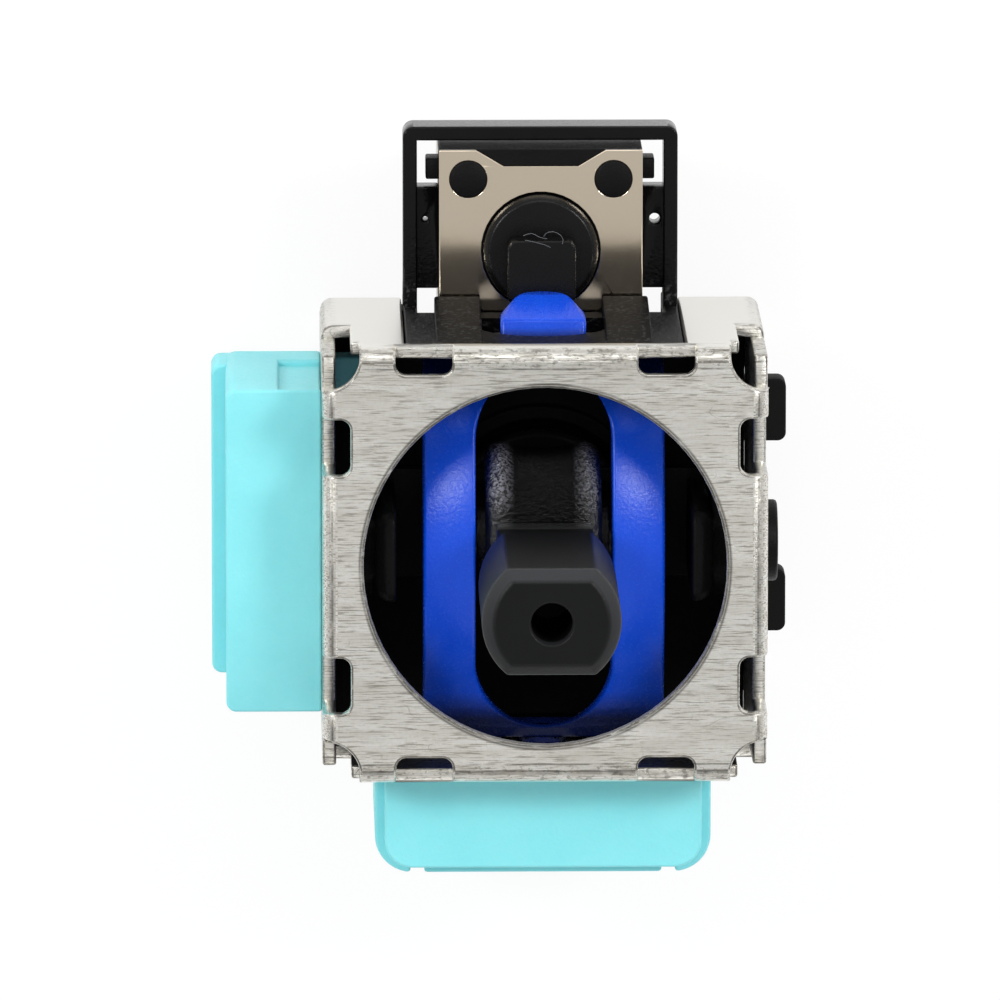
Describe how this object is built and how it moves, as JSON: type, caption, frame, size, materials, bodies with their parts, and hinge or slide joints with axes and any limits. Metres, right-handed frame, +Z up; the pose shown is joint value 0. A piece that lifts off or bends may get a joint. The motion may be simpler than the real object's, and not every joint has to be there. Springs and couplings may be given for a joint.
{
  "type": "controller analog stick",
  "caption": "Two-axis thumb stick module: a D-shaft lever on crossed yokes in a folded steel cover, with rotary sensors and a push switch.",
  "frame": {"origin": "centre of the circuit board seat, straight below the lever", "axes": "+Z up along the lever, +Y toward the push switch, +X away from the side sensor"},
  "size_m": [0.0171, 0.0216, 0.0217],
  "materials": {
    "cover_steel": "tin plated, brushed",
    "base_black": "moulded black",
    "switch_black": "moulded black",
    "switch_steel": "satin",
    "terminal_brass": "tin plated",
    "dome_steel": "bright",
    "sensor_mint": "satin moulding",
    "board_brown": "phenolic board",
    "spring_steel": "bright wire",
    "rotor_white": "moulded",
    "wiper_brass": "bright",
    "yoke_blue": "moulded blue",
    "lever_black": "moulded black",
    "pin_steel": "ground",
    "cradle_black": "moulded black",
    "button_black": "moulded black",
    "seat_black": "moulded black"
  },
  "bodies": {
    "housing": {"metal_cover": "cover_steel", "base": "base_black", "switch_body": "switch_black", "switch_plate": "switch_steel", "switch_terminals": "terminal_brass", "switch_dome": "dome_steel", "pot_x_housing": "sensor_mint", "pot_x_board": "board_brown", "pot_x_terminals": "terminal_brass", "pot_y_housing": "sensor_mint", "pot_y_board": "board_brown", "pot_y_terminals": "terminal_brass", "return_spring": "spring_steel"},
    "swing_rotor": {"pot_y_rotor": "rotor_white", "pot_y_wiper": "wiper_brass"},
    "lever_yoke": {"upper_yoke": "yoke_blue"},
    "stick": {"lever": "lever_black", "lever_pin": "pin_steel"},
    "cradle": {"lower_yoke": "cradle_black", "pot_x_rotor": "rotor_white", "pot_x_wiper": "wiper_brass"},
    "push_button": {"switch_plunger": "button_black"},
    "seat": {"spring_seat": "seat_black"}
  },
  "joints": [
    {"name": "swing_left_right", "type": "hinge", "parent": "housing", "child": "swing_rotor", "pos_m": [0, -0.0085, 0.0058], "axis": [0, 1, 0], "range_deg": [-23, 23], "stiffness_Nm_per_rad": 0.004},
    {"name": "press", "type": "hinge", "parent": "swing_rotor", "child": "lever_yoke", "pos_m": [0, -0.0072, 0.0058], "axis": [-1, 0, 0], "range_deg": [0, 1.2], "stiffness_Nm_per_rad": 1.5},
    {"name": "tilt_fore_aft", "type": "hinge", "parent": "lever_yoke", "child": "stick", "pos_m": [0, 0, 0.0058], "axis": [-1, 0, 0], "range_deg": [-23, 23], "stiffness_Nm_per_rad": 0.004},
    {"name": "cradle_turn", "type": "hinge", "parent": "housing", "child": "cradle", "pos_m": [0, 0, 0.0058], "axis": [-1, 0, 0], "range_deg": [-23.5, 23.5]},
    {"name": "button_travel", "type": "slide", "parent": "housing", "child": "push_button", "axis": [0, 0, -1], "range_m": [0, 0.00031]},
    {"name": "seat_travel", "type": "slide", "parent": "housing", "child": "seat", "axis": [0, 0, -1], "range_m": [0, 0.00018], "deforming": ["return_spring"]}
  ],
  "couplings": [
    {"joint": "cradle_turn", "follows": "tilt_fore_aft", "ratio": 1},
    {"joint": "button_travel", "follows": "press", "m_per_rad": 0.01453},
    {"joint": "seat_travel", "follows": "press", "m_per_rad": 0.008}
  ]
}
